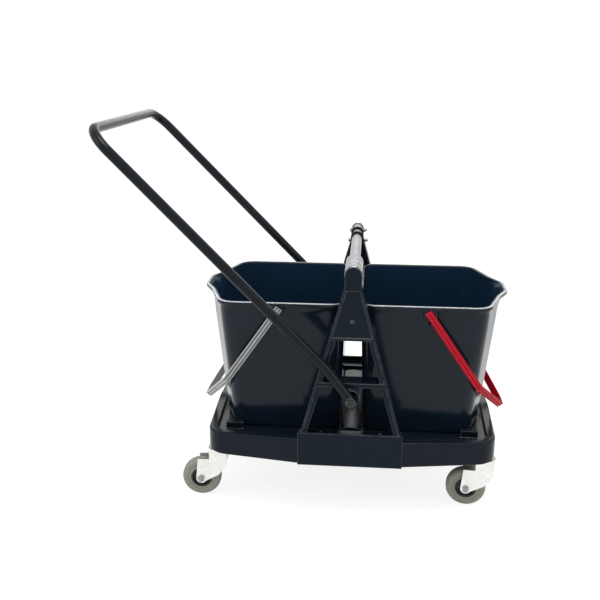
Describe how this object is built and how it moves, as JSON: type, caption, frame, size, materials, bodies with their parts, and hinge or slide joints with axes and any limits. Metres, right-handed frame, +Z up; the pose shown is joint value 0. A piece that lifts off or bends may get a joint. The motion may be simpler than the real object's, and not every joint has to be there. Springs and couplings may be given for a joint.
{
  "type": "double mop bucket trolley",
  "caption": "Mop trolley deck on swivel castors carrying a pair of lift-off spouted buckets with bails, A-frame towers with a crossbar, and a swing-over push handle.",
  "frame": {"origin": "on the floor under the middle of the deck", "axes": "+X along the two buckets towards the red bail, +Y from front to rear, +Z up"},
  "size_m": [0.7566, 0.4766, 0.7161],
  "materials": {
    "deck_plastic": "satin black moulding",
    "plug_plastic": "glossy black moulding",
    "bucket_plastic": "glossy black moulding",
    "handle_paint": "satin black paint on steel tube",
    "crossbar_metal": "brushed",
    "fastener_steel": "bright zinc",
    "black_steel": "blackened steel",
    "castor_zinc": "pale zinc plate",
    "tyre_rubber": "matt grey rubber",
    "wheel_plastic": "dark grey moulding",
    "bush_nylon": "plain",
    "grey_bail_plastic": "satin",
    "red_bail_plastic": "gloss"
  },
  "bodies": {
    "chassis": {"chassis_base": "deck_plastic", "front_tower": "deck_plastic", "rear_tower": "deck_plastic", "crossbar_tube": "crossbar_metal", "crossbar_sleeve": "crossbar_metal", "crossbar_end_cap": "crossbar_metal", "crossbar_collars": "plug_plastic", "rear_head_bolts": "fastener_steel", "rear_head_nuts": "fastener_steel", "tower_screws": "black_steel", "handle_pivot_bolts": "black_steel", "handle_pivot_washers": "black_steel", "handle_pivot_nuts": "black_steel", "castor_stems": "castor_zinc", "swivel_balls": "fastener_steel"},
    "handle": {"handle_tube": "handle_paint", "handle_pivot_bushes": "bush_nylon", "handle_end_plugs": "plug_plastic", "handle_stop_pins": "fastener_steel"},
    "left_bucket": {"left_bucket": "bucket_plastic"},
    "right_bucket": {"right_bucket": "bucket_plastic"},
    "left_bail": {"left_bail": "grey_bail_plastic"},
    "right_bail": {"right_bail": "red_bail_plastic"},
    "front_left_swivel": {"front_left_castor_fork": "castor_zinc", "front_left_axle_bolt": "fastener_steel", "front_left_axle_nut": "fastener_steel"},
    "front_left_wheel": {"front_left_tyre": "tyre_rubber", "front_left_wheel_centre": "wheel_plastic", "front_left_wheel_bush": "bush_nylon"},
    "front_right_swivel": {"front_right_castor_fork": "castor_zinc", "front_right_axle_bolt": "fastener_steel", "front_right_axle_nut": "fastener_steel"},
    "front_right_wheel": {"front_right_tyre": "tyre_rubber", "front_right_wheel_centre": "wheel_plastic", "front_right_wheel_bush": "bush_nylon"},
    "rear_left_swivel": {"rear_left_castor_fork": "castor_zinc", "rear_left_axle_bolt": "fastener_steel", "rear_left_axle_nut": "fastener_steel"},
    "rear_left_wheel": {"rear_left_tyre": "tyre_rubber", "rear_left_wheel_centre": "wheel_plastic", "rear_left_wheel_bush": "bush_nylon"},
    "rear_right_swivel": {"rear_right_castor_fork": "castor_zinc", "rear_right_axle_bolt": "fastener_steel", "rear_right_axle_nut": "fastener_steel"},
    "rear_right_wheel": {"rear_right_tyre": "tyre_rubber", "rear_right_wheel_centre": "wheel_plastic", "rear_right_wheel_bush": "bush_nylon"}
  },
  "joints": [
    {"name": "handle_swing", "type": "hinge", "parent": "chassis", "child": "handle", "pos_m": [0, 0, 0.24], "axis": [0, 1, 0], "range_deg": [0, 87.2]},
    {"name": "left_bucket_lift", "type": "slide", "parent": "chassis", "child": "left_bucket", "axis": [-0.4226, 0, 0.9063], "range_m": [0, 0.3]},
    {"name": "left_bail_swing", "type": "hinge", "parent": "left_bucket", "child": "left_bail", "pos_m": [-0.138, 0, 0.383], "axis": [0, 1, 0], "range_deg": [0, 165]},
    {"name": "right_bucket_lift", "type": "slide", "parent": "chassis", "child": "right_bucket", "axis": [0.4226, 0, 0.9063], "range_m": [0, 0.3]},
    {"name": "right_bail_swing", "type": "hinge", "parent": "right_bucket", "child": "right_bail", "pos_m": [0.138, 0, 0.383], "axis": [0, -1, 0], "range_deg": [0, 165]},
    {"name": "front_left_swivel_turn", "type": "hinge", "parent": "chassis", "child": "front_left_swivel", "pos_m": [-0.255, -0.14, 0.095], "axis": [0, 0, 1], "continuous": true},
    {"name": "front_left_wheel_roll", "type": "hinge", "parent": "front_left_swivel", "child": "front_left_wheel", "pos_m": [-0.28796, -0.14173, 0.0375], "axis": [-0.0523, 0.9986, 0], "continuous": true},
    {"name": "front_right_swivel_turn", "type": "hinge", "parent": "chassis", "child": "front_right_swivel", "pos_m": [0.255, -0.14, 0.095], "axis": [0, 0, 1], "continuous": true},
    {"name": "front_right_wheel_roll", "type": "hinge", "parent": "front_right_swivel", "child": "front_right_wheel", "pos_m": [0.22218, -0.13655, 0.0375], "axis": [0.1045, 0.9945, 0], "continuous": true},
    {"name": "rear_left_swivel_turn", "type": "hinge", "parent": "chassis", "child": "rear_left_swivel", "pos_m": [-0.255, 0.14, 0.095], "axis": [0, 0, 1], "continuous": true},
    {"name": "rear_left_wheel_roll", "type": "hinge", "parent": "rear_left_swivel", "child": "rear_left_wheel", "pos_m": [-0.22232, 0.13541, 0.0375], "axis": [-0.1392, -0.9903, 0], "continuous": true},
    {"name": "rear_right_swivel_turn", "type": "hinge", "parent": "chassis", "child": "rear_right_swivel", "pos_m": [0.255, 0.14, 0.095], "axis": [0, 0, 1], "continuous": true},
    {"name": "rear_right_wheel_roll", "type": "hinge", "parent": "rear_right_swivel", "child": "rear_right_wheel", "pos_m": [0.22213, 0.13712, 0.0375], "axis": [-0.0872, 0.9962, 0], "continuous": true}
  ]
}
